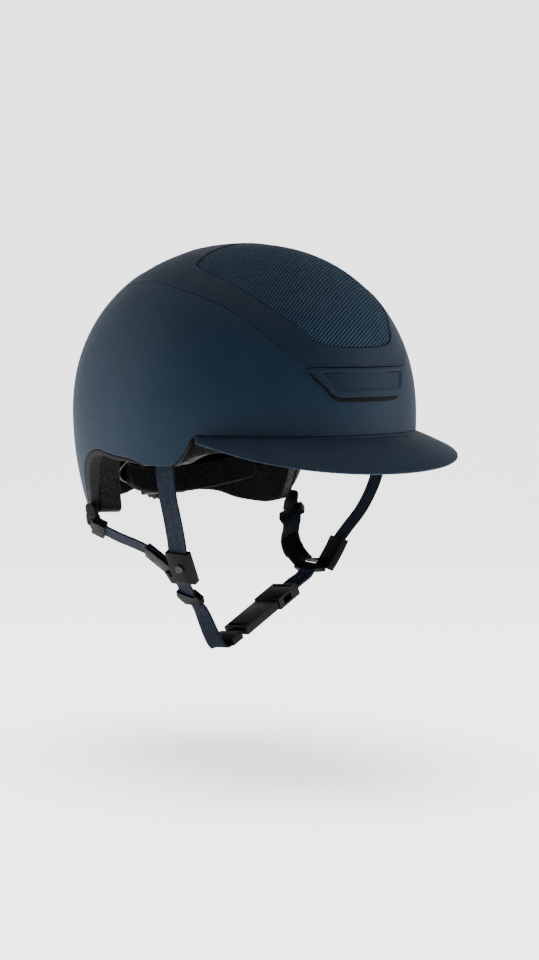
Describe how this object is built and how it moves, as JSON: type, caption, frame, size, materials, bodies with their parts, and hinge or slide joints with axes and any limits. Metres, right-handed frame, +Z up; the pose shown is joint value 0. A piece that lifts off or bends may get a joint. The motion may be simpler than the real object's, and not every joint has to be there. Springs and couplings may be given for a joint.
{
  "type": "equestrian riding helmet",
  "caption": "Riding helmet with a short peak, raised vented top frame, foam liner, dial-fit band and a buckled chin harness.",
  "frame": {"origin": "centre of the wearer's head at brow height, on the centre line, where the head sits in the helmet", "axes": "+Z up, the wearer faces -Y, +X is the wearer's left; the head enters from -Z"},
  "size_m": [0.224, 0.3081, 0.2891],
  "materials": {
    "shell_navy": "matte soft-touch lacquer",
    "frame_navy": "matte soft-touch lacquer",
    "vent_cover_navy": "matte soft-touch lacquer",
    "mesh_navy": "fine woven mesh",
    "trim_rubber": "matte",
    "foam_black": "bead foam",
    "pad_fabric": "knit",
    "nape_pad_fabric": "ribbed",
    "webbing_navy": "woven webbing",
    "strap_plastic": "fine texture",
    "buckle_plastic": "satin",
    "fit_plastic": "fine texture",
    "dial_rubber": "matte",
    "metal_dark": "dark"
  },
  "bodies": {
    "helmet": {"outer_shell": "shell_navy", "top_frame": "frame_navy", "front_grille": "mesh_navy", "rear_grille": "mesh_navy", "front_vent_cover": "vent_cover_navy", "vent_duct": "fit_plastic", "peak": "shell_navy", "edge_trim": "trim_rubber", "foam_liner": "foam_black", "brow_pad": "pad_fabric", "crown_pad": "pad_fabric", "side_pad_left": "pad_fabric", "side_pad_right": "pad_fabric", "temple_pins": "fit_plastic", "strap_roots": "webbing_navy", "strap_anchors": "metal_dark", "rear_strap_guide_left": "strap_plastic", "rear_strap_guide_right": "strap_plastic"},
    "cradle": {"adjuster_housing": "fit_plastic", "adjuster_cover": "fit_plastic", "nape_pad": "nape_pad_fabric"},
    "dial": {"adjuster_dial": "dial_rubber", "adjuster_pinion": "fit_plastic", "dial_screw": "metal_dark"},
    "band_left": {"rack_band_left": "fit_plastic"},
    "band_right": {"rack_band_right": "fit_plastic"},
    "harness_right": {"front_strap_right": "webbing_navy", "rear_strap_right": "webbing_navy", "strap_divider_right": "strap_plastic", "divider_stud_right": "metal_dark", "chin_strap_right": "webbing_navy", "buckle_tongue": "buckle_plastic"},
    "slider": {"strap_slider": "strap_plastic"},
    "keeper": {"strap_keeper": "strap_plastic"},
    "harness_left": {"front_strap_left": "webbing_navy", "rear_strap_left": "webbing_navy", "strap_divider_left": "strap_plastic", "divider_stud_left": "metal_dark", "chin_strap_left": "webbing_navy", "buckle_housing": "buckle_plastic"}
  },
  "joints": [
    {"name": "cradle_tilt", "type": "hinge", "parent": "helmet", "child": "cradle", "pos_m": [0, 0.008, 0.003], "axis": [1, 0, 0], "range_deg": [-5, 5]},
    {"name": "dial_turn", "type": "hinge", "parent": "cradle", "child": "dial", "pos_m": [0, 0.09886, -0.03371], "axis": [0, 0.9272, -0.3746], "range_deg": [-160, 160]},
    {"name": "left_band_travel", "type": "hinge", "parent": "cradle", "child": "band_left", "pos_m": [0, 0.02469, -0.00374], "axis": [0, 0.3746, 0.9272], "range_deg": [-8.2, 8.2]},
    {"name": "right_band_travel", "type": "hinge", "parent": "cradle", "child": "band_right", "pos_m": [0, 0.02469, -0.00374], "axis": [0, 0.3746, 0.9272], "range_deg": [-8.2, 8.2]},
    {"name": "right_harness_swing", "type": "hinge", "parent": "helmet", "child": "harness_right", "pos_m": [-0.1006, -0.033, -0.0133], "axis": [0.1263, 0.852, -0.5082], "range_deg": [0, 45]},
    {"name": "left_harness_swing", "type": "hinge", "parent": "helmet", "child": "harness_left", "pos_m": [0.1006, -0.033, -0.0133], "axis": [0.1263, -0.852, 0.5082], "range_deg": [0, 45]},
    {"name": "slider_travel", "type": "slide", "parent": "harness_right", "child": "slider", "axis": [0.648, 0.0432, -0.7604], "range_m": [-0.001, 0.001]},
    {"name": "keeper_travel", "type": "slide", "parent": "harness_right", "child": "keeper", "axis": [0.9049, 0.192, 0.3799], "range_m": [-0.001, 0.001]}
  ],
  "couplings": [
    {"joint": "left_band_travel", "follows": "dial_turn", "ratio": 0.05},
    {"joint": "right_band_travel", "follows": "dial_turn", "ratio": -0.05},
    {"joint": "left_harness_swing", "follows": "right_harness_swing", "ratio": 0.85}
  ]
}
